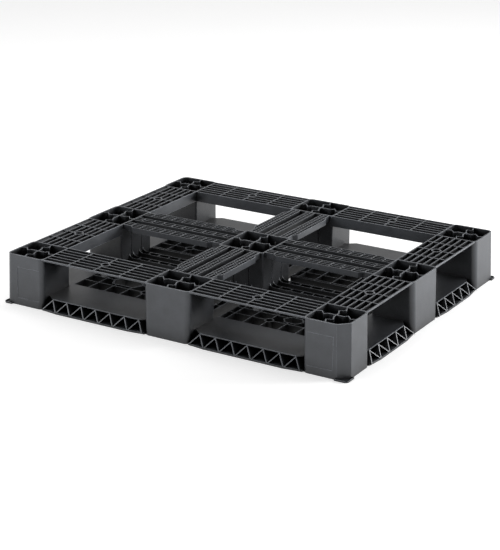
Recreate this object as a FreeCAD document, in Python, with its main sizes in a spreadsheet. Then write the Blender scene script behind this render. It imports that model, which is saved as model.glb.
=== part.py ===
"""One-piece plastic pallet with a full perimeter base, 1200 x 1000 x 160 mm.

The pallet is one moulding.  It is drawn here as the named regions that the moulding is made of:
posts, deck panels, deck slats, skids with their zigzag webs, base grids, base slats and toes.
They meet face to face.  The origin is on the floor under the middle of the pallet, X runs along
the long side, Y from front to back, and Z is up.
"""
import FreeCAD, Part
import os
import math
import Sketcher

Vector = FreeCAD.Vector
DOC = FreeCAD.newDocument("Pallet")

# Driving dimensions, in millimetres.
DIMENSIONS = {
    "pallet_length": 1200,      # over the base lips, along X
    "pallet_width": 1000,       # over the base lips, along Y
    "pallet_height": 160,
    "lip_reach": 12,            # base lips stand this far outside the tops of the posts
    "post_flare": 5,            # outer post faces lean out by this towards the floor
    "fork_draft": 3,            # fork-side post faces lean in by this towards the floor
    "corner_x": 136,            # corner and end posts, along X
    "corner_y": 134,            # corner and end posts, along Y
    "middle_x": 161,            # middle posts, along X
    "middle_y": 166,            # middle posts, along Y
    "post_wall": 4.5,
    "post_floor": 4,
    "edge_radius": 17,          # vertical edges of the outer post faces
    "inner_radius": 5,          # vertical edges inside the pallet
    "corner_radius": 19,        # three corners of the pallet are rounded
    "corner_cut": 30,           # the front right one is cut off at 45 degrees
    "brace": 3.5,               # wavy cross ribs inside the posts
    "brace_drop": 1,            # their tops lie this far below the deck
    "brace_wave": 9,            # how far they swing to each side
    "brace_x_crest": 16,        # turning points of the ribs along X, from the post's wall
    "brace_x_trough": 32,
    "brace_x_end": 42,
    "brace_y_crest": 23,        # and of the ribs along Y
    "brace_y_trough": 31,
    "brace_y_end": 52,
    "groove_width": 3,          # vertical grooves in the post faces, between two slats
    "groove_depth": 2,
    "label_depth": 0.8,         # blank label fields in two posts
    "label_width": 84,
    "label_shift": 13,          # away from the pallet corner
    "label_low": 24,
    "label_high": 122,
    "deck_depth": 35,
    "deck_rib": 3.6,
    "rim_inset": 5,             # the deck rim stands back from the post faces
    "rim_lip": 4.5,             # height of the outer deck rim
    "lead_in": 75,              # the underside slopes down over this distance behind the rim
    "lead_in_plate": 3,
    "eyelet_outer": 30,         # ring in the middle of each deck panel
    "eyelet_inner": 22,
    "slat_outer": 41,           # widths of the three slats of a deck arm
    "slat_middle": 31,
    "slat_depth": 18,
    "slat_wall": 3,
    "slat_rib": 2.6,
    "lattice_pitch": 13,        # cross ribs in the front and back arms
    "bay_pitch": 39,            # cross ribs in the left and right arms and in the base
    "lattice_depth": 7,
    "notch_length": 30,         # the outer slats are narrower beside the posts
    "notch_slope": 14,
    "notch_depth": 11,
    "skid_height": 37,
    "skid_reach": 18,           # the skids reach this much further in than the deck panels
    "skin": 3,                  # top skin and base plate of the skids
    "skid_setback": 11.5,       # front edge of the skin, behind the post faces
    "skid_corner": 19,          # beside the posts the skin stands back by this much more
    "lip_height": 6,
    "web_thickness": 2.8,       # zigzag webs, measured upright
    "web_flat": 1.4,            # half the flat crest where a web meets a plate
    "web_edge": 1,              # the foot of a web stands back from the lip's edge
    "grid_rib": 3.2,
    "grid_top": 36.5,
    "grid_pitch_x": 58.8,
    "grid_pitch_y": 46.8,
    "grid_first_x": 53.8,       # first grid rib beside the left and right skids
    "grid_first_y": 72.4,       # and beside the front and back post faces
    "base_slat": 24,
    "base_slat_offset": 28,     # from the middle of the arm
    "gusset": 13,               # concave corner where a base slat runs up a post
    "gusset_least": 1,          # what the curve leaves beside the post and the slat
    "toe_height": 5,
    "toe_radius": 12,
    "toe_wall": 2,
}


class Size:
    """A length that carries both its number and its expression on the sheet."""

    def __init__(self, number, text=None):
        self.number = float(number)
        self.text = text or repr(float(number))

    @staticmethod
    def of(value):
        return value if isinstance(value, Size) else Size(value)

    def join(self, other, sign, number):
        return Size(number, f"({self.text} {sign} {Size.of(other).text})")

    def __add__(self, other):
        return self.join(other, "+", self.number + Size.of(other).number)

    def __sub__(self, other):
        return self.join(other, "-", self.number - Size.of(other).number)

    def __mul__(self, other):
        return self.join(other, "*", self.number * Size.of(other).number)

    def __truediv__(self, other):
        return self.join(other, "/", self.number / Size.of(other).number)

    def __neg__(self):
        return self * -1

    def __radd__(self, other):
        return Size.of(other) + self

    def __rmul__(self, other):
        return Size.of(other) * self


def make_sheet():
    """Write the driving dimensions to a spreadsheet and return them by name."""
    sheet = DOC.addObject("Spreadsheet::Sheet", "Dims")
    sizes = {}
    for row, (alias, number) in enumerate(DIMENSIONS.items(), start=1):
        sheet.set(f"A{row}", alias.replace("_", " "))
        sheet.set(f"B{row}", str(number))
        sheet.setAlias(f"B{row}", alias)
        sizes[alias] = Size(number, f"Dims.{alias}")
    DOC.recompute()
    return sizes


D = make_sheet()
ZERO = Size(0)
FINAL = []          # the objects that are written out, one for each node

TOP = D["pallet_height"]
HALF_X = D["pallet_length"] / 2 - D["lip_reach"]        # post faces at deck level
HALF_Y = D["pallet_width"] / 2 - D["lip_reach"]
GAP_X = HALF_X - D["corner_x"] - D["middle_x"] / 2      # fork opening along the long side
GAP_Y = HALF_Y - D["corner_y"] - D["middle_y"] / 2
ARM_X = D["middle_x"] / 2 + GAP_X / 2                   # middle of a fork opening
ARM_Y = D["middle_y"] / 2 + GAP_Y / 2
BITE = Size(8)      # pieces reach this far into the posts before the posts trim them
CLEAR = Size(1)     # and cutting tools reach past the faces they cut by this


# ---------------------------------------------------------------- drawing helpers

def bind(item, path, size):
    item.setExpression(path, size.text)


def place(item, x=ZERO, y=ZERO, z=ZERO, turn=0):
    """Put an object at a bound position, turned about Z by a number of degrees."""
    item.Placement = FreeCAD.Placement(Vector(), FreeCAD.Rotation(Vector(0, 0, 1), turn))
    for axis, size in (("x", x), ("y", y), ("z", z)):
        bind(item, f"Placement.Base.{axis}", Size.of(size))
    return item


def bar(name, x, y, z):
    """A box between two bound positions on each axis."""
    item = DOC.addObject("Part::Box", name)
    for path, (low, high) in (("Length", x), ("Width", y), ("Height", z)):
        bind(item, path, Size.of(high) - low)
    return place(item, x[0], y[0], z[0])


def rod(name, diameter, x, y, z):
    """An upright cylinder between two bound heights."""
    item = DOC.addObject("Part::Cylinder", name)
    bind(item, "Radius", Size.of(diameter) / 2)
    bind(item, "Height", Size.of(z[1]) - z[0])
    return place(item, x, y, z[0])


def fuse(name, pieces):
    item = DOC.addObject("Part::MultiFuse", name)
    item.Shapes = pieces
    return item


def cut(name, base, tool):
    item = DOC.addObject("Part::Cut", name)
    item.Base = base
    item.Tool = tool
    return item


def common(name, base, tool):
    item = DOC.addObject("Part::Common", name)
    item.Base = base
    item.Tool = tool
    return item


def compound(name, pieces):
    item = DOC.addObject("Part::Compound", name)
    item.Links = pieces
    return item


def pin(sketch, geometry, point, x, y):
    """Hold one sketch point at a bound distance from the sketch origin."""
    for kind, size in (("DistanceX", x), ("DistanceY", y)):
        size = Size.of(size)
        row = sketch.addConstraint(Sketcher.Constraint(kind, -1, 1, geometry, point, size.number))
        bind(sketch, f"Constraints[{row}]", size)


def polygon(name, points, upright=None):
    """A closed straight-sided sketch with every corner bound to the sheet.

    The sketch lies flat, or stands in the XZ or YZ plane.
    """
    sketch = DOC.addObject("Sketcher::SketchObject", name)
    if upright == "XZ":
        sketch.Placement.Rotation = FreeCAD.Rotation(Vector(1, 0, 0), 90)
    if upright == "YZ":
        sketch.Placement.Rotation = FreeCAD.Rotation(Vector(1, 1, 1), 120)
    spots = [Vector(Size.of(x).number, Size.of(y).number, 0) for x, y in points]
    count = len(spots)
    for i in range(count):
        sketch.addGeometry(Part.LineSegment(spots[i], spots[(i + 1) % count]))
    for i in range(count):
        sketch.addConstraint(Sketcher.Constraint("Coincident", i, 2, (i + 1) % count, 1))
    for i, (x, y) in enumerate(points):
        pin(sketch, i, 1, x, y)
    return sketch


def extrude(name, sketch, direction, length):
    item = DOC.addObject("Part::Extrusion", name)
    item.Base = sketch
    item.DirMode = "Custom"
    item.Dir = direction
    item.Solid = True
    bind(item, "LengthFwd", Size.of(length))
    return item


def rounded(name, z, west, east, south, north, radii):
    """A flat rectangle sketch at height z with four corner radii: SW, SE, NE, NW."""
    sketch = DOC.addObject("Sketcher::SketchObject", name)
    bind(sketch, "Placement.Base.z", Size.of(z))
    centres = []
    for (x, side_x), (y, side_y), radius in (((west, 1), (south, 1), radii[0]),
                                             ((east, -1), (south, 1), radii[1]),
                                             ((east, -1), (north, -1), radii[2]),
                                             ((west, 1), (north, -1), radii[3])):
        centres.append((x + radius * side_x, y + radius * side_y, radius))
    for i, (x, y, radius) in enumerate(centres):
        circle = Part.Circle(Vector(x.number, y.number, 0), Vector(0, 0, 1), radius.number)
        start = math.pi + i * math.pi / 2
        sketch.addGeometry(Part.ArcOfCircle(circle, start, start + math.pi / 2))
    for i in range(4):
        first = sketch.getPoint(i, 2)
        last = sketch.getPoint((i + 1) % 4, 1)
        sketch.addGeometry(Part.LineSegment(first, last))
    for i in range(4):
        sketch.addConstraint(Sketcher.Constraint("Tangent", i, 2, 4 + i, 1))
        sketch.addConstraint(Sketcher.Constraint("Tangent", 4 + i, 2, (i + 1) % 4, 1))
        sketch.addConstraint(Sketcher.Constraint("Vertical" if i % 2 else "Horizontal", 4 + i))
    for i, (x, y, radius) in enumerate(centres):
        row = sketch.addConstraint(Sketcher.Constraint("Radius", i, radius.number))
        bind(sketch, f"Constraints[{row}]", radius)
    pin(sketch, 0, 3, centres[0][0], centres[0][1])
    pin(sketch, 2, 3, centres[2][0], centres[2][1])
    return sketch


def loft(name, low, high):
    item = DOC.addObject("Part::Loft", name)
    item.Sections = [low, high]
    item.Solid = True
    item.Ruled = True
    return item


def finish(item, label):
    """Keep an object as one node of the pallet."""
    item.Label = label
    FINAL.append(item)
    return item


# ---------------------------------------------------------------- posts

CORNERS = ((-1, -1), (1, -1), (1, 1), (-1, 1))
CUT_CORNER = (1, -1)


def post_outline(name, z, lean, inset, size_x, size_y, out_x, out_y, radii):
    """The post's outline at one height.

    lean is 0 at deck level and 1 on the floor.  out_x and out_y say which way the post faces
    the outside of the pallet: -1, 0 or 1.
    """
    def side(size, out, sign):
        move = D["post_flare"] if out == sign else -D["fork_draft"]
        return (size / 2 + move * lean - inset) * sign

    return rounded(name, z,
                   side(size_x, out_x, -1), side(size_x, out_x, 1),
                   side(size_y, out_y, -1), side(size_y, out_y, 1),
                   [radius - inset for radius in radii])


def brace_x(name, size):
    """The wavy rib along X, from wall to wall."""
    half = size / 2 - D["post_wall"] / 2
    wave = D["brace_wave"]
    crest, trough, end = D["brace_x_crest"], D["brace_x_trough"], D["brace_x_end"]
    line = [(-half, ZERO), (-half + crest, wave), (-half + trough, -wave), (-half + end, ZERO),
            (half - end, ZERO), (half - trough, wave), (half - crest, -wave), (half, ZERO)]
    return wavy(name, line, False)


def brace_y(name, size):
    """The wavy rib along Y, from wall to wall."""
    half = size / 2 - D["post_wall"] / 2
    wave = D["brace_wave"]
    crest, trough, end = D["brace_y_crest"], D["brace_y_trough"], D["brace_y_end"]
    line = [(-half, ZERO), (-half + crest, -wave), (-half + trough, wave), (-half + end, ZERO),
            (half - end, ZERO), (half - trough, -wave), (half - crest, wave), (half, ZERO)]
    return wavy(name, line, True)


def wavy(name, line, swap):
    """A rib of even thickness along a wavy line."""
    half = D["brace"] / 2
    near = [(run, swing - half) for run, swing in line]
    far = [(run, swing + half) for run, swing in reversed(line)]
    points = near + far
    if swap:
        points = [(swing, run) for run, swing in points]
    rib = extrude(name, polygon(name + "_line", points), Vector(0, 0, 1),
                  TOP - D["brace_drop"] - D["post_floor"] / 2)
    return place(rib, z=D["post_floor"] / 2)


def post_bodies(name, size_x, size_y, out_x, out_y, sharp=None):
    """The outer form of a post and its pocket.  sharp is the corner that is cut off, if any."""
    choice = D["inner_radius"], D["edge_radius"], D["corner_radius"]
    radii = [choice[(x == out_x) + (y == out_y)] for x, y in CORNERS]
    floor_lean = (TOP - D["post_floor"]) / TOP
    args = (size_x, size_y, out_x, out_y, radii)
    outer = loft(name + "_form",
                 post_outline(name + "_foot", ZERO, Size(1), ZERO, *args),
                 post_outline(name + "_head", TOP, ZERO, ZERO, *args))
    pocket = loft(name + "_pocket",
                  post_outline(name + "_floor", D["post_floor"], floor_lean, D["post_wall"], *args),
                  post_outline(name + "_mouth", TOP, ZERO, D["post_wall"], *args))
    if sharp is None:
        return outer, pocket
    wall = D["post_wall"] * math.sqrt(2)
    return (cut_corner(name + "_form", outer, size_x, size_y, sharp, D["corner_cut"]),
            cut_corner(name + "_pocket", pocket, size_x, size_y, sharp,
                       D["corner_cut"] + wall))


def cut_corner(name, body, size_x, size_y, corner, size):
    """Cuts one upright corner off a body at 45 degrees, leaning with the outer faces."""
    side_x, side_y = corner
    lines = []
    for level, (height, flare) in enumerate(((ZERO, D["post_flare"]), (TOP, ZERO))):
        far_x = size_x / 2 + flare + BITE * 2
        far_y = size_y / 2 + flare + BITE * 2
        run = size + BITE * 4
        line = polygon(f"{name}_corner_line_{level}",
                       [(far_x * side_x, far_y * side_y),
                        ((far_x - run) * side_x, far_y * side_y),
                        (far_x * side_x, (far_y - run) * side_y)])
        lines.append(place(line, z=height))
    return cut(name + "_cut", body, loft(name + "_corner", *lines))


def grooves(name, size_x, size_y, faces):
    """Upright grooves in the faces that carry slats, two on a face."""
    items = []
    depth = D["groove_depth"] + D["fork_draft"]
    height = (D["skid_height"], TOP - D["slat_depth"])
    for face_x, face_y in faces:
        for side in (-1, 1):
            middle = D["base_slat_offset"] * side
            across = (middle - D["groove_width"] / 2, middle + D["groove_width"] / 2)
            reach = (size_x if face_x else size_y) / 2
            ends = sorted(((reach - depth) * (face_x or face_y), (reach + CLEAR) * (face_x or face_y)),
                          key=lambda size: size.number)
            label = f"{name}_groove_{len(items)}"
            items.append(bar(label, *((ends, across) if face_x else (across, ends)), height))
    return items


def label_field(name, shift):
    """A blank shallow field in the outer face of a corner post."""
    tilt = math.degrees(math.atan(D["post_flare"].number / TOP.number))
    item = bar(name, (ZERO, D["label_width"]), (ZERO, BITE),
               (ZERO, D["label_high"] - D["label_low"]))
    lean = D["post_flare"] * (TOP - D["label_low"]) / TOP
    place(item, shift - D["label_width"] / 2,
          -D["corner_y"] / 2 - lean + D["label_depth"] - BITE,
          D["label_low"])
    item.Placement.Rotation = FreeCAD.Rotation(Vector(1, 0, 0), -tilt)
    return item


def make_posts():
    """All nine posts.  Returns the outer forms in place, to trim the pieces between them."""
    cx, cy, mx, my = D["corner_x"], D["corner_y"], D["middle_x"], D["middle_y"]
    far_x = HALF_X - cx / 2
    far_y = HALF_Y - cy / 2
    braces = {
        "cx": brace_x("brace_corner_x", cx), "mx": brace_x("brace_middle_x", mx),
        "cy": brace_y("brace_corner_y", cy), "my": brace_y("brace_middle_y", my),
    }
    kinds = {   # size_x, size_y, out_x, out_y, corner cut off, braces, slat faces
        "corner_left": (cx, cy, -1, -1, None, ("cx", "cy"), ()),
        "corner_right": (cx, cy, 1, -1, None, ("cx", "cy"), ()),
        "corner_cut": (cx, cy, *CUT_CORNER, CUT_CORNER, ("cx", "cy"), ()),
        "end_front": (mx, cy, 0, -1, None, ("mx", "cy"), ((0, 1),)),
        "end_left": (cx, my, -1, 0, None, ("cx", "my"), ((1, 0),)),
        "centre": (mx, my, 0, 0, None, ("mx", "my"), ((1, 0), (-1, 0), (0, 1), (0, -1))),
    }
    places = (  # node, kind, x, y, turn, side its label field is shifted to
        ("post_front_left", "corner_left", -far_x, -far_y, 0, 1),
        ("post_front_right", "corner_cut", far_x, -far_y, 0, -1),
        ("post_back_right", "corner_left", far_x, far_y, 180, 0),
        ("post_back_left", "corner_right", -far_x, far_y, 180, 0),
        ("post_front_middle", "end_front", ZERO, -far_y, 0, 0),
        ("post_back_middle", "end_front", ZERO, far_y, 180, 0),
        ("post_left_middle", "end_left", -far_x, ZERO, 0, 0),
        ("post_right_middle", "end_left", far_x, ZERO, 180, 0),
        ("post_centre", "centre", ZERO, ZERO, 0, 0),
    )
    bodies = {}
    for kind, (size_x, size_y, out_x, out_y, sharp, rib_names, faces) in kinds.items():
        outer, pocket = post_bodies(kind, size_x, size_y, out_x, out_y, sharp)
        marks = grooves(kind, size_x, size_y, faces)
        bodies[kind] = (outer, pocket, marks, [braces[rib] for rib in rib_names])
    fields = {side: label_field(f"label_field_{side + 1}", D["label_shift"] * side)
              for side in (-1, 1)}
    forms = []
    for node, kind, x, y, turn, labelled in places:
        outer, pocket, marks, ribs = bodies[kind]
        form = compound(node + "_form", [outer])
        forms.append(place(form, x, y, turn=turn))
        hollow = compound(node + "_hollow",
                          [pocket] + marks + ([fields[labelled]] if labelled else []))
        shell = cut(node + "_shell", outer, hollow)
        post = fuse(node, [shell] + ribs)
        finish(place(post, x, y, turn=turn), node)
    return compound("post_forms", forms)


# ---------------------------------------------------------------- pieces between the posts
# Each is drawn with X along the opening and Y inwards from the post faces, then put in place
# on the four sides and trimmed by the posts.

LONG_RIBS = 6       # ribs behind the rim of a deck panel
DECK_BAYS = 4       # bays between its cross ribs
LONG_PEAKS = 7      # crests of the webs on the long and short sides
SHORT_PEAKS = 5
SIDES = (   # side, turn, runs along X
    ("front", 0, True),
    ("right", 90, False),
    ("back", 180, True),
    ("left", 270, False),
)


def side_spot(side, hand):
    """Where the local origin of an opening goes: the middle of the opening at the post faces."""
    along_x = side in ("front", "back")
    out = -1 if side in ("front", "left") else 1
    if along_x:
        return ARM_X * hand, HALF_Y * out
    return HALF_X * out, ARM_Y * hand


def second_name(side, hand):
    if side in ("front", "back"):
        return "left" if hand < 0 else "right"
    return "front" if hand < 0 else "back"


def deck_panel(name, gap, depth):
    """Seven long ribs and three cross ribs round an eyelet, with a sloping lead-in plate."""
    reach = gap / 2 + BITE
    rib = D["deck_rib"]
    rim = D["rim_inset"]
    low = TOP - D["deck_depth"]
    rim_low = TOP - D["rim_lip"]
    run = D["lead_in"]
    pitch = (depth - rim - rib) / LONG_RIBS
    fall = (rim_low - low) / run
    pieces = [bar(name + "_rim", (-reach, reach), (rim, rim + rib), (rim_low, TOP))]
    for row in range(1, LONG_RIBS + 1):
        start = pitch * row
        foot = rim_low - fall * start if start.number < run.number else low
        pieces.append(bar(f"{name}_rib_{row}", (-reach, reach), (rim + start, rim + start + rib),
                          (foot, TOP)))
    for step in (-1, 0, 1):
        side = polygon(f"{name}_cross_line_{step + 1}",
                       [(rim, TOP), (rim, rim_low), (rim + run, low), (depth, low),
                        (depth, TOP)], "YZ")
        cross = extrude(f"{name}_cross_{step + 1}", side, Vector(1, 0, 0), rib)
        pieces.append(place_upright(cross, gap / DECK_BAYS * step - rib / 2))
    slope = polygon(name + "_slope_line",
                    [(rim, rim_low), (rim + run, low), (rim + run, low + D["lead_in_plate"]),
                     (rim, rim_low + D["lead_in_plate"])], "YZ")
    plate = extrude(name + "_slope", slope, Vector(1, 0, 0), reach * 2)
    pieces.append(place_upright(plate, -reach))
    middle = rim + pitch * (LONG_RIBS / 2) + rib / 2
    pieces.append(rod(name + "_eyelet", D["eyelet_outer"], ZERO, middle, (low, TOP)))
    hole = rod(name + "_hole", D["eyelet_inner"], ZERO, middle, (low - CLEAR, TOP + CLEAR))
    return cut(name, fuse(name + "_ribs", pieces), hole)


def place_upright(item, x=ZERO, y=ZERO):
    """Move an extrusion whose sketch stands upright."""
    bind(item, "Placement.Base.x", Size.of(x))
    bind(item, "Placement.Base.y", Size.of(y))
    return item


def skid(name, gap, depth, peaks, more):
    """Top skin, inner wall, base plate and the lip that stands out past the post feet.

    more is how far the skid reaches past the inner side of the posts.
    """
    half = gap / 2
    reach = half + BITE
    skin = D["skin"]
    height = D["skid_height"]
    end = half + D["fork_draft"]
    flare = -D["post_flare"]
    front = D["skid_setback"]
    pitch = gap / peaks
    back = depth + more
    up = Vector(0, 0, 1)
    lip_line = polygon(name + "_lip_line",
                       [(-end, front), (-end, flare), (-half + pitch, -D["lip_reach"]),
                        (half - pitch, -D["lip_reach"]), (end, flare), (end, front)])
    corner = front + D["skid_corner"]
    top_line = polygon(name + "_top_line",
                       [(-reach, corner), (-half, corner), (-half + pitch / 2, front),
                        (half - pitch / 2, front), (half, corner), (reach, corner),
                        (reach, depth), (-reach, depth)])
    top = place(extrude(name + "_top", top_line, up, skin), z=height - skin)
    pieces = [
        top,
        bar(name + "_base", (-reach, reach), (ZERO, depth), (ZERO, skin)),
        extrude(name + "_lip", lip_line, up, D["lip_height"]),
    ]
    wide = (-reach, reach)
    if more.number:
        wide = (-half, half)
        pieces.append(bar(name + "_more_top", wide, (depth, back), (height - skin, height)))
        pieces.append(bar(name + "_more_base", wide, (depth, back), (ZERO, skin)))
    pieces.append(bar(name + "_wall", wide, (back - skin, back), (ZERO, height)))
    return fuse(name, pieces)


def zigzag(name, gap, depth, peaks, more):
    """The web inside a skid: one folded strip from post to post, open to the outside.

    Its front leans back from the lip to the front edge of the top skin.
    """
    low = D["skin"]
    high = D["skid_height"] - D["skin"]
    thick = D["web_thickness"]
    flat = D["web_flat"]
    half = gap / 2
    pitch = gap / peaks
    upper = [(-half, low + thick)]
    lower = [(-half, low), (-half + flat, low)]
    for peak in range(peaks):
        crest = -half + pitch * (peak + 0.5)
        foot = -half + pitch * (peak + 1)
        upper += [(crest - flat, high), (crest + flat, high)]
        lower += [(crest, high - thick)]
        if peak < peaks - 1:
            upper += [(foot, low + thick)]
            lower += [(foot - flat, low), (foot + flat, low)]
    upper += [(half, low + thick)]
    lower += [(half - flat, low), (half, low)]
    line = polygon(name + "_line", lower + upper[::-1], "XZ")
    foot = D["web_edge"] - D["lip_reach"]
    strip = extrude(name + "_strip", line, Vector(0, 1, 0), depth + more - D["skin"] - foot)
    front = polygon(name + "_front_line",
                    [(foot - BITE, ZERO), (foot, ZERO), (foot, D["lip_height"]),
                     (D["skid_setback"], high), (D["skid_setback"], high + CLEAR),
                     (foot - BITE, high + CLEAR)], "YZ")
    wedge = extrude(name + "_front", front, Vector(1, 0, 0), gap + BITE * 2)
    return cut(name, place_upright(strip, y=foot), place_upright(wedge, -half - BITE))


def make_sides(forms):
    """Deck panels, skids and zigzag webs on all four sides, two openings on each."""
    patterns = {}
    for name, along_x, gap, depth, peaks, more in (
            ("long", True, GAP_X, D["corner_y"], LONG_PEAKS, D["skid_reach"]),
            ("short", False, GAP_Y, D["corner_x"], SHORT_PEAKS, ZERO)):
        shell = skid(name + "_skid", gap, depth, peaks, more)
        web = zigzag(name + "_web", gap, depth, peaks, more)
        patterns[along_x] = {
            "deck_panel": deck_panel(name + "_panel", gap, depth),
            "skid": shell,
            "skid_web": cut(name + "_web_trimmed", web, shell),
        }
    for side, turn, along_x in SIDES:
        for hand in (-1, 1):
            x, y = side_spot(side, hand)
            for kind, pattern in patterns[along_x].items():
                node = f"{kind}_{side}_{second_name(side, hand)}"
                placed = place(compound(node + "_placed", [pattern]), x, y, turn=turn)
                finish(cut(node, placed, forms), node)


# ---------------------------------------------------------------- deck slats and base slats

OUTER_ROWS = 3      # rows of openings along the outer and middle slats of an arm
MIDDLE_ROWS = 2


def lattice(name, reach, half, rows, depth, deep, pitch):
    """Cross ribs, one in each bay deep, and rows of long ribs between the side walls."""
    rib = D["slat_rib"]
    count = int(reach.number // pitch.number)
    in_bay = round(D["bay_pitch"].number / pitch.number)
    pieces = []
    for step in range(-count, count + 1):
        middle = pitch * step
        low = deep if step % in_bay == 0 else TOP - depth
        pieces.append(bar(f"{name}_cross_{step + count}", (middle - rib / 2, middle + rib / 2),
                          (-half, half), (low, TOP)))
    for row in range(1, rows):
        middle = -half + half * 2 / rows * row
        pieces.append(bar(f"{name}_long_{row}", (-reach, reach),
                          (middle - rib / 2, middle + rib / 2), (TOP - depth, TOP)))
    return fuse(name, pieces)


def slat(name, gap, width, notched, rows, pitch):
    """A deck slat: side walls round a lattice.  X along the slat, Y across it."""
    reach = gap / 2 + BITE
    half = width / 2
    wall = D["slat_wall"]

    def outline(label, inset):
        if not notched:
            return polygon(label, [(-reach, -half + inset), (reach, -half + inset),
                                   (reach, half - inset), (-reach, half - inset)])
        narrow = -half + D["notch_depth"] + inset
        start = gap / 2 - D["notch_length"]
        slope = start - D["notch_slope"]
        return polygon(label, [(-reach, narrow), (-start, narrow), (-slope, -half + inset),
                               (slope, -half + inset), (start, narrow), (reach, narrow),
                               (reach, half - inset), (-reach, half - inset)])

    up = Vector(0, 0, 1)
    low = TOP - D["slat_depth"]
    block = place(extrude(name + "_block", outline(name + "_outline", ZERO), up, D["slat_depth"]),
                  z=low)
    inside = place(extrude(name + "_inside", outline(name + "_inline", wall), up,
                           D["slat_depth"] + CLEAR * 2), z=low - CLEAR)
    grid = lattice(name + "_lattice", reach, half, rows, D["lattice_depth"], low, pitch)
    walls = cut(name + "_walls", block, inside)
    filling = common(name + "_filling", grid, block)
    return fuse(name, [walls, filling])


def base_slats(name, gap):
    """The two lattice slats in the base of one arm, with gussets that run up the posts."""
    reach = gap / 2 + D["fork_draft"]
    rib = D["slat_wall"]
    height = D["skid_height"]
    pitch = D["bay_pitch"]
    slats = []
    for side in (-1, 1):
        middle = D["base_slat_offset"] * side
        near = middle - D["base_slat"] / 2
        far = middle + D["base_slat"] / 2
        label = f"{name}_{'left' if side < 0 else 'right'}"
        pieces = [bar(label + "_near", (-reach, reach), (near, near + rib), (ZERO, height)),
                  bar(label + "_far", (-reach, reach), (far - rib, far), (ZERO, height))]
        count = int(gap.number / 2 // pitch.number)
        for step in range(-count, count + 1):
            spot = pitch * step
            pieces.append(bar(f"{label}_cross_{step + count}",
                              (spot - rib / 2, spot + rib / 2), (near, far), (ZERO, height)))
        for end in (-1, 1):
            for edge in (near, far - rib):
                pieces.append(gusset(f"{label}_gusset_{len(pieces)}", reach, edge, rib, end))
        slats.append(fuse(label, pieces))
    return compound(name, slats)


def gusset(name, reach, edge, thick, end):
    """A thin web with a hollow quarter-round edge between a base slat and a post."""
    size = D["gusset"]
    height = D["skid_height"]
    ends = sorted(((reach - size) * end, reach * end), key=lambda spot: spot.number)
    block = bar(name + "_block", ends, (edge, edge + thick), (height - CLEAR, height + size))
    curve = DOC.addObject("Part::Cylinder", name + "_curve")
    bind(curve, "Radius", size - D["gusset_least"])
    bind(curve, "Height", thick + CLEAR * 2)
    bind(curve, "Placement.Base.x", (reach - size) * end)
    bind(curve, "Placement.Base.y", edge + thick + CLEAR)
    bind(curve, "Placement.Base.z", height + size)
    curve.Placement.Rotation = FreeCAD.Rotation(Vector(1, 0, 0), 90)
    return cut(name, block, curve)


def make_arms(forms):
    """The four arms between the centre post and the end posts: three deck slats, two base slats."""
    shift_y_arm = D["middle_x"] / 2 - D["slat_outer"] / 2
    shift_x_arm = D["middle_y"] / 2 - D["slat_outer"] / 2
    patterns = {
        True: (slat("long_outer", GAP_X, D["slat_outer"], True, OUTER_ROWS, D["bay_pitch"]),
               slat("long_middle", GAP_X, D["slat_middle"], False, MIDDLE_ROWS, D["bay_pitch"]),
               base_slats("long_base", GAP_X), shift_x_arm),
        False: (slat("short_outer", GAP_Y, D["slat_outer"], True, OUTER_ROWS, D["lattice_pitch"]),
                slat("short_middle", GAP_Y, D["slat_middle"], False, MIDDLE_ROWS,
                     D["lattice_pitch"]),
                base_slats("short_base", GAP_Y), shift_y_arm),
    }
    arms = (    # arm, along X, middle of the arm, names of the slats on its low and high side
        ("left", True, (-ARM_X, ZERO), ("front", "back")),
        ("right", True, (ARM_X, ZERO), ("front", "back")),
        ("front", False, (ZERO, -ARM_Y), ("left", "right")),
        ("back", False, (ZERO, ARM_Y), ("left", "right")),
    )
    for arm, along_x, (x, y), (low_name, high_name) in arms:
        outer, middle, base, offset = patterns[along_x]
        for name, sign in ((low_name, -1), (high_name, 1)):
            turn = (0 if sign < 0 else 180) if along_x else (270 if sign < 0 else 90)
            node = f"deck_slat_{arm}_{name}"
            spot = (x, y + offset * sign) if along_x else (x + offset * sign, y)
            placed = place(compound(node + "_placed", [outer]), *spot, turn=turn)
            finish(cut(node, placed, forms), node)
        turn = 0 if along_x else 90
        for kind, pattern in (("deck_slat", middle), ("base_slats", base)):
            node = f"{kind}_{arm}" + ("_middle" if kind == "deck_slat" else "")
            placed = place(compound(node + "_placed", [pattern]), x, y, turn=turn)
            finish(cut(node, placed, forms), node)


# ---------------------------------------------------------------- base grids and toes

LINES_X = 6                 # ribs across a base grid and along it
LINES_Y = 5
BOSSES = ((3, 0), (1, 3))   # the crossings of those ribs that carry a round boss
BASE_RIM_SHARE = 0.88       # inside of an outlined ring as a share of its outside
WIDE_RING = ((79, 120), (95, 86), (175, 86), (192, 120), (175, 154), (95, 154))
SMALL_RING = ((132, 106), (147, 83), (185, 83), (201, 106), (185, 129), (147, 129))


def ring(name, points, height):
    """The outside and the inside of a closed wall along a straight-sided outline."""
    middle_x = sum(x for x, _ in points) / len(points)
    middle_y = sum(y for _, y in points) / len(points)
    inside = [(middle_x + (x - middle_x) * BASE_RIM_SHARE,
               middle_y + (y - middle_y) * BASE_RIM_SHARE) for x, y in points]
    up = Vector(0, 0, 1)
    outer = extrude(name + "_outer", polygon(name + "_outline", points), up, height)
    inner = extrude(name + "_inner", polygon(name + "_inline", inside), up, height + CLEAR * 2)
    return outer, place(inner, z=-CLEAR)


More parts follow.
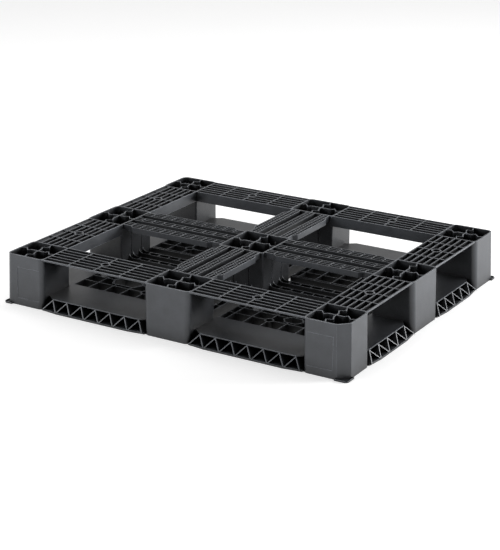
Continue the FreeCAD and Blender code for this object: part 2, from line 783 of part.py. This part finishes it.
def base_grid(name, outline, swap):
    """The rib grid in one base window.

    It is drawn from the outer skid corner inwards.  With swap, X and Y change places, so that
    a quarter turn puts it in the window beside.
    """
    rib = D["grid_rib"]
    top = D["grid_top"]
    lines_x = [D["grid_first_x"] + D["grid_pitch_x"] * step for step in range(LINES_X)]
    lines_x.append(GAP_X - rib / 2)
    lines_y = [D["grid_first_y"] + D["grid_pitch_y"] * step for step in range(LINES_Y)]
    lines_y.append(GAP_Y - rib / 2)

    def turned(x, y):
        return (y, x) if swap else (x, y)

    def rib_bar(label, x, y):
        return bar(label, *turned(x, y), (ZERO, top))

    pieces = []
    for i, spot in enumerate(lines_x):
        pieces.append(rib_bar(f"{name}_across_{i}", (spot - rib / 2, spot + rib / 2),
                              (D["skid_reach"], GAP_Y)))
    for i, spot in enumerate(lines_y):
        pieces.append(rib_bar(f"{name}_along_{i}", (ZERO, GAP_X),
                              (spot - rib / 2, spot + rib / 2)))
    holes = []
    for i, (across, along) in enumerate(BOSSES):
        x, y = turned(lines_x[across], lines_y[along])
        pieces.append(rod(f"{name}_boss_{i}", D["eyelet_outer"], x, y, (ZERO, top)))
        holes.append(rod(f"{name}_bore_{i}", D["eyelet_inner"], x, y, (-CLEAR, top + CLEAR)))
    outer, inner = ring(name + "_ring", [turned(x, y) for x, y in outline], top)
    return cut(name, fuse(name + "_ribs", pieces + [outer]),
               compound(name + "_holes", holes + [inner]))


def make_grids(forms):
    """Base grids in the four windows; opposite corners are alike, turned half round."""
    wide = base_grid("grid_wide", WIDE_RING, False)
    small = base_grid("grid_small", SMALL_RING, True)
    corner_x = HALF_X - D["corner_x"]
    corner_y = HALF_Y - D["corner_y"]
    for node, pattern, x, y, turn in (
            ("base_grid_front_left", wide, -corner_x, -corner_y, 0),
            ("base_grid_front_right", small, corner_x, -corner_y, 90),
            ("base_grid_back_right", wide, corner_x, corner_y, 180),
            ("base_grid_back_left", small, -corner_x, corner_y, 270)):
        placed = place(compound(node + "_placed", [pattern]), x, y, turn=turn)
        finish(cut(node, placed, forms), node)


def make_toes(forms):
    """Low trays that fill out the corners of the pallet beside the corner posts."""
    reach_x = HALF_X + D["lip_reach"]
    reach_y = HALF_Y + D["lip_reach"]
    wall = D["toe_wall"]
    for side_y, row in ((-1, "front"), (1, "back")):
        for side_x, column in ((-1, "left"), (1, "right")):
            at_cut = (side_x, side_y) == CUT_CORNER
            lost = D["corner_cut"] if at_cut else D["corner_radius"]
            size = lost + D["lip_reach"]
            west, east = sorted((reach_x * side_x, (reach_x - size) * side_x),
                                key=lambda spot: spot.number)
            south, north = sorted((reach_y * side_y, (reach_y - size) * side_y),
                                  key=lambda spot: spot.number)
            node = f"toe_{row}_{column}"
            radii = [CLEAR] * 4
            radii[CORNERS.index((side_x, side_y))] = D["toe_radius"]
            outline = rounded(node + "_outline", ZERO, west, east, south, north, radii)
            block = extrude(node + "_block", outline, Vector(0, 0, 1), D["toe_height"])
            hollow = bar(node + "_hollow", (west + wall, east - wall),
                         (south + wall, north - wall), (wall, D["toe_height"] + CLEAR))
            finish(cut(node, cut(node + "_tray", block, hollow), forms), node)


def check_and_write():
    """Recompute, check every object and write one STEP file for each node."""
    DOC.recompute()
    for item in DOC.Objects:
        if "Invalid" in item.State or "Error" in item.State:
            raise RuntimeError(f"{item.Name} did not recompute: {item.State}")
    labels = [item.Label for item in FINAL]
    if len(set(labels)) != len(labels):
        raise RuntimeError("two nodes share a label")
    os.makedirs("parts", exist_ok=True)
    total = 0
    for item in FINAL:
        shape = item.Shape
        if shape.isNull() or not shape.isValid() or not shape.Solids:
            raise RuntimeError(f"{item.Label} has no valid solid")
        total += shape.Volume
        shape.exportStep(f"parts/{item.Label}.step")
        print(f"{item.Label:28s} solids {len(shape.Solids):2d}  volume {shape.Volume / 1000:8.1f} ml")
    print(f"{len(FINAL)} nodes, {total / 1e6:.2f} litres of plastic")


POST_FORMS = make_posts()
make_sides(POST_FORMS)
make_arms(POST_FORMS)
make_grids(POST_FORMS)
make_toes(POST_FORMS)
check_and_write()
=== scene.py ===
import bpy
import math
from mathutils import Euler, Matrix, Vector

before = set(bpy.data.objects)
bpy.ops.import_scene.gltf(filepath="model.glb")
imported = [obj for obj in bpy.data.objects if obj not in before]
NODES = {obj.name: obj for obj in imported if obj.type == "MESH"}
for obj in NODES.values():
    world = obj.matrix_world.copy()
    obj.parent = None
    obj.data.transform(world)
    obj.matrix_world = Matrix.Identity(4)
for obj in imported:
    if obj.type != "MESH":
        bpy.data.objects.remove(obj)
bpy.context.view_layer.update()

# Looks of a plastic pallet: nine posts, a lattice deck and a ribbed base, all in one
# dark moulded plastic.

WHITE = (1.0, 1.0, 1.0, 1.0)

# ---------------------------------------------------------------- view
CAMERA_SPOT = (2.4975, -4.0807, 1.7603)
CAMERA_AZIMUTH = 31.647
CAMERA_DOWN = 19.678
CAMERA_LENS = 106.14
SENSOR = 36.0
NEAR, FAR = 0.1, 100.0


def make_camera():
    data = bpy.data.cameras.new("camera")
    data.lens = CAMERA_LENS
    data.sensor_width = SENSOR
    data.clip_start = NEAR
    data.clip_end = FAR
    camera = bpy.data.objects.new("camera", data)
    camera.location = CAMERA_SPOT
    turn = (math.radians(90.0 - CAMERA_DOWN), 0.0, math.radians(CAMERA_AZIMUTH))
    camera.rotation_euler = Euler(turn, "XYZ")
    bpy.context.scene.collection.objects.link(camera)
    bpy.context.scene.camera = camera


# ---------------------------------------------------------------- materials
COOL = 1.22                     # blue of a dark grey, as a share of its red
GREEN_SHARE = 0.35              # how far its green follows the blue
PAINTED_SHADE_GREY = 0.0015                   # painted shade, deep between ribs and under the deck
PLASTIC_GREY = 0.047
WEAR_AND_HIGHLIGHT_GREY = 0.42                # edges pale from scuffing wear and a painted edge highlight
PLASTIC_ROUGH = 0.40
PLASTIC_GRAIN = 0.25
SPECULAR = 0.5
EDGE_REACH = 0.0016
SAMPLES = 6                     # of each bevel and occlusion node
NEAR_RIBS = (0.05, 0.36, 0.90)  # painted shade between close ribs: reach, and the open shares at which the painted shade is full and gone
# painted shade under the deck: reach, and the open shares at which it is full and gone
UNDER_DECK = (0.30, 0.26, 0.64)
# Noises, each as scale, detail and roughness.
BROAD = (3.5, 3.0, 0.5)
CLOUD = (26.0, 5.0, 0.6)
SPECK = (420.0, 3.0, 0.6)
SCUFF = (60.0, 6.0, 0.7)
FINE_GRAIN = (900.0, 2.0, 0.5)
SLOW_SWELL = (14.0, 2.0, 0.4)
FLOOR_MIST = (1.5, 3.0, 0.5)
TINT_SHARES = (0.45, 0.35, 0.20)    # of broad, cloud and speck in the plastic's tint
TINT_RANGE = (0.36, 0.66)
TINT_GREYS = (0.80, 1.22)           # times the plastic's grey
SCUFF_RANGE = (0.30, 0.62)
LEAST_WEAR_AND_HIGHLIGHT = 0.35                  # pale on an edge without scuffs: wear and painted edge highlight
LEAN_RANGE = (0.98, 0.80)           # of the rounded normal along the true one
GLOSS_DROP = 0.07
GLOSS_SWING = 0.14
FINE_DEPTH = 0.0004
SLOW_STRENGTH = 0.25
SLOW_DEPTH = 0.004
FLOOR_GREYS = (0.86, 0.89)
FLOOR_ROUGH = 0.9
FLOOR_SPECULAR = 0.1
FLOOR_GLOW = 0.40


class Web:
    """A material's node tree, with short calls for adding and joining nodes."""

    def __init__(self, name):
        self.material = bpy.data.materials.new(name)
        self.material.use_nodes = True
        self.tree = self.material.node_tree
        self.tree.nodes.clear()
        out = self.tree.nodes.new("ShaderNodeOutputMaterial")
        self.shader = self.tree.nodes.new("ShaderNodeBsdfPrincipled")
        self.tree.links.new(self.shader.outputs["BSDF"], out.inputs["Surface"])

    def add(self, kind, **settings):
        node = self.tree.nodes.new(kind)
        for key, value in settings.items():
            setattr(node, key, value)
        return node

    def feed(self, socket, source):
        """Joins a socket to another node's output, or sets it to a number or colour."""
        if isinstance(source, bpy.types.NodeSocket):
            self.tree.links.new(source, socket)
        else:
            socket.default_value = source

    def sum(self, mode, *values):
        node = self.add("ShaderNodeMath", operation=mode)
        for socket, value in zip(node.inputs, values):
            self.feed(socket, value)
        return node.outputs[0]

    def noise(self, where, scale, detail, roughness):
        node = self.add("ShaderNodeTexNoise")
        self.feed(node.inputs["Vector"], where)
        for name, value in (("Scale", scale), ("Detail", detail), ("Roughness", roughness)):
            node.inputs[name].default_value = value
        return node.outputs["Fac"]

    def spread(self, source, low, high):
        node = self.add("ShaderNodeMapRange", interpolation_type="SMOOTHSTEP")
        for socket, value in zip(node.inputs, (source, low, high, 0.0, 1.0)):
            self.feed(socket, value)
        return node.outputs[0]

    def mix(self, share, first, second):
        node = self.add("ShaderNodeMix", data_type="RGBA")
        for name, value in (("Factor_Float", share), ("A_Color", first), ("B_Color", second)):
            self.feed(next(s for s in node.inputs if s.identifier == name), value)
        return next(s for s in node.outputs if s.identifier == "Result_Color")


def colour(grey):
    green = 1.0 - GREEN_SHARE + COOL * GREEN_SHARE
    return (grey, grey * green, grey * COOL, 1.0)


def edge_mask(web, radius):
    """1 on a sharp outer edge and 0 on a flat wall: how far a rounded normal leans."""
    bevel = web.add("ShaderNodeBevel", samples=SAMPLES)
    bevel.inputs["Radius"].default_value = radius
    true = web.add("ShaderNodeNewGeometry")
    dot = web.add("ShaderNodeVectorMath", operation="DOT_PRODUCT")
    web.feed(dot.inputs[0], bevel.outputs["Normal"])
    web.feed(dot.inputs[1], true.outputs["Normal"])
    return web.spread(dot.outputs["Value"], *LEAN_RANGE)


def occlusion_shade_mask(web, distance, low, high):
    """Mask for painted shade: 1 in the open, and 0 deep between close ribs or under the deck."""
    node = web.add("ShaderNodeAmbientOcclusion", samples=SAMPLES)
    node.inputs["Distance"].default_value = distance
    return web.spread(node.outputs["AO"], low, high)


def bump(web, where, noise, strength, distance):
    node = web.add("ShaderNodeBump")
    node.inputs["Strength"].default_value = strength
    node.inputs["Distance"].default_value = distance
    web.feed(node.inputs["Height"], web.noise(where, *noise))
    return node


def plastic(name, base, edge_wear_and_highlight, rough, grain):
    web = Web(name)
    where = web.add("ShaderNodeTexCoord").outputs["Object"]
    broad, cloud, speck = (web.noise(where, *noise) for noise in (BROAD, CLOUD, SPECK))
    of_broad, of_cloud, of_speck = TINT_SHARES
    tint = web.sum("ADD", web.sum("MULTIPLY", broad, of_broad),
                   web.sum("MULTIPLY", cloud, of_cloud))
    tint = web.sum("ADD", tint, web.sum("MULTIPLY", speck, of_speck))
    dark, pale = (colour(base * share) for share in TINT_GREYS)
    body = web.mix(web.spread(tint, *TINT_RANGE), dark, pale)
    edge = edge_mask(web, EDGE_REACH)
    scuff = web.spread(web.noise(where, *SCUFF), *SCUFF_RANGE)
    scuff = web.sum("MULTIPLY", scuff, 1.0 - LEAST_WEAR_AND_HIGHLIGHT)
    # pale edges: scuffing wear, plus a painted highlight on every sharp edge
    wear_and_highlight = web.sum("MULTIPLY", edge, web.sum("ADD", LEAST_WEAR_AND_HIGHLIGHT, scuff))
    body = web.mix(wear_and_highlight, body, colour(edge_wear_and_highlight))
    # painted shade: recesses between ribs and under the deck are darkened to near-black
    shade = web.sum("MULTIPLY", occlusion_shade_mask(web, *NEAR_RIBS), occlusion_shade_mask(web, *UNDER_DECK))
    body = web.mix(shade, colour(PAINTED_SHADE_GREY), body)
    web.feed(web.shader.inputs["Base Color"], body)
    gloss = web.sum("ADD", rough - GLOSS_DROP, web.sum("MULTIPLY", cloud, GLOSS_SWING))
    web.feed(web.shader.inputs["Roughness"], gloss)
    web.shader.inputs["Specular IOR Level"].default_value = SPECULAR
    fine = bump(web, where, FINE_GRAIN, grain, FINE_DEPTH)
    slow = bump(web, where, SLOW_SWELL, SLOW_STRENGTH, SLOW_DEPTH)
    web.feed(slow.inputs["Normal"], fine.outputs["Normal"])
    web.feed(web.shader.inputs["Normal"], slow.outputs["Normal"])
    return web.material


def floor_material():
    web = Web("pale_floor")
    where = web.add("ShaderNodeTexCoord").outputs["Object"]
    mist = web.noise(where, *FLOOR_MIST)
    dim, light = ((grey, grey, grey, 1.0) for grey in FLOOR_GREYS)
    shade = web.mix(mist, dim, light)
    web.feed(web.shader.inputs["Base Color"], shade)
    web.shader.inputs["Roughness"].default_value = FLOOR_ROUGH
    web.shader.inputs["Specular IOR Level"].default_value = FLOOR_SPECULAR
    web.shader.inputs["Emission Color"].default_value = WHITE
    web.shader.inputs["Emission Strength"].default_value = FLOOR_GLOW
    return web.material


# ---------------------------------------------------------------- edges
WELD_GAP = 0.00002
FLAT_TURN = math.radians(0.6)
SHARP_TURN = math.radians(32.0)
EDGE_WIDTH = 0.0006
NORMAL_WEIGHT = 90


def soften(node, joined):
    """Rounds a node's sharp edges: joins its split points, clears flat triangles, then bevels."""
    weld = node.modifiers.new("weld", "WELD")
    weld.merge_threshold = WELD_GAP
    if joined:
        flat = node.modifiers.new("flat", "DECIMATE")
        flat.decimate_type = "DISSOLVE"
        flat.angle_limit = FLAT_TURN
    round_off = node.modifiers.new("round", "BEVEL")
    round_off.width = EDGE_WIDTH
    round_off.segments = 2
    round_off.limit_method = "ANGLE"
    round_off.angle_limit = SHARP_TURN
    round_off.use_clamp_overlap = True
    round_off.harden_normals = False
    even = node.modifiers.new("even", "WEIGHTED_NORMAL")
    even.keep_sharp = False
    even.weight = NORMAL_WEIGHT


# ---------------------------------------------------------------- stage
FLOOR_SIZE = 60.0
HORIZON = 1.1
CEILING = 0.35
FADE = (0.26, 0.45)
AIM = (0.0, 0.0, 0.1)
LIGHTS = (      # name, place, size, power
    ("key", (3.7, 2.9, 1.2), (2.0, 1.6), 245.0),
    ("front", (-3.8, -2.6, 2.4), (2.4, 1.6), 92.0),
    ("top", (-0.5, 1.5, 3.6), (3.0, 3.0), 30.0),
)


def make_floor():
    bpy.ops.mesh.primitive_plane_add(size=FLOOR_SIZE, location=(0.0, 0.0, 0.0))
    floor = bpy.context.object
    floor.name = "floor"
    floor.data.materials.append(floor_material())


def make_light(name, spot, size, power):
    data = bpy.data.lights.new(name, "AREA")
    data.shape = "RECTANGLE"
    data.size, data.size_y = size
    data.energy = power
    light = bpy.data.objects.new(name, data)
    light.location = spot
    way = Vector(AIM) - Vector(spot)
    light.rotation_euler = way.to_track_quat("-Z", "Y").to_euler()
    bpy.context.scene.collection.objects.link(light)


def make_world():
    """A soft studio, bright towards the horizon and dimmer overhead."""
    world = bpy.data.worlds.new("studio")
    world.use_nodes = True
    tree = world.node_tree
    back = tree.nodes["Background"]
    back.inputs["Color"].default_value = WHITE
    where = tree.nodes.new("ShaderNodeTexCoord")
    split = tree.nodes.new("ShaderNodeSeparateXYZ")
    tree.links.new(where.outputs["Generated"], split.inputs[0])
    fade = tree.nodes.new("ShaderNodeMapRange")
    fade.interpolation_type = "SMOOTHSTEP"
    for socket, value in zip(fade.inputs[1:], (*FADE, HORIZON, CEILING)):
        socket.default_value = value
    tree.links.new(split.outputs["Z"], fade.inputs[0])
    tree.links.new(fade.outputs[0], back.inputs["Strength"])
    bpy.context.scene.world = world


make_camera()
make_floor()
make_world()
for light_values in LIGHTS:
    make_light(*light_values)
bpy.context.scene.view_settings.view_transform = "Standard"

BLACK = plastic("moulded_black", PLASTIC_GREY, WEAR_AND_HIGHLIGHT_GREY, PLASTIC_ROUGH, PLASTIC_GRAIN)
for name, node in NODES.items():
    node.data.materials.clear()
    node.data.materials.append(BLACK)
    soften(node, joined="web" not in name and "deck_slat" not in name)
